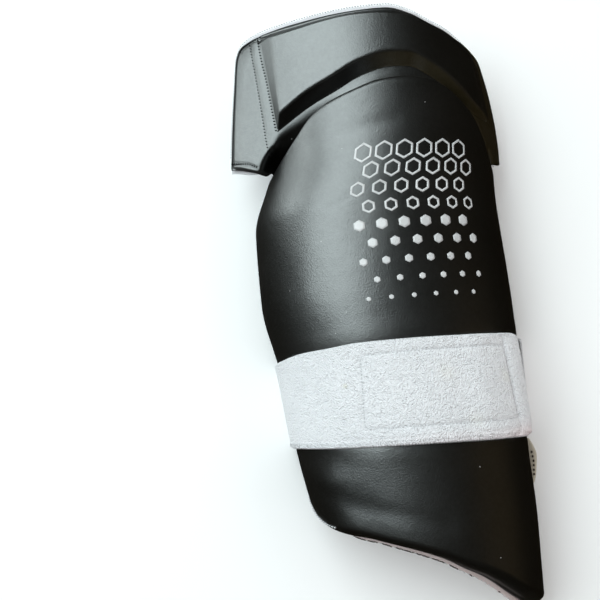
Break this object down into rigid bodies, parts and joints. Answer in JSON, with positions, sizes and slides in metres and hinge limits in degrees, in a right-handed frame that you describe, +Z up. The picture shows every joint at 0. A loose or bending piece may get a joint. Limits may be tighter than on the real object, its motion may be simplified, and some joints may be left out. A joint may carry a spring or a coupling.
{
  "type": "thigh pad",
  "caption": "Moulded foam thigh pad with a raised hip guard flap, white lining and a terry elastic strap; a half-tube shell worn over the outer thigh to absorb ball impacts.",
  "frame": {"origin": "on the surface the pad lies on, below the middle of its bounding box", "axes": "+X across the thigh, +Y along the thigh towards the hip, +Z up away from the leg"},
  "size_m": [0.2054, 0.4382, 0.0992],
  "materials": {
    "skin": "soft satin black synthetic leather, fine grain",
    "lining": "white brushed cloth",
    "strap": "white terry loop elastic",
    "fastener": "black hook-and-loop pile",
    "webbing": "cream ribbed webbing"
  },
  "bodies": {
    "root": {"main_pad": "skin", "pad_lining": "lining", "hip_flange": "skin", "hip_block": "skin", "hip_lining": "lining", "strap": "strap", "fastener_patch": "fastener", "webbing_tab": "webbing"}
  },
  "joints": []
}
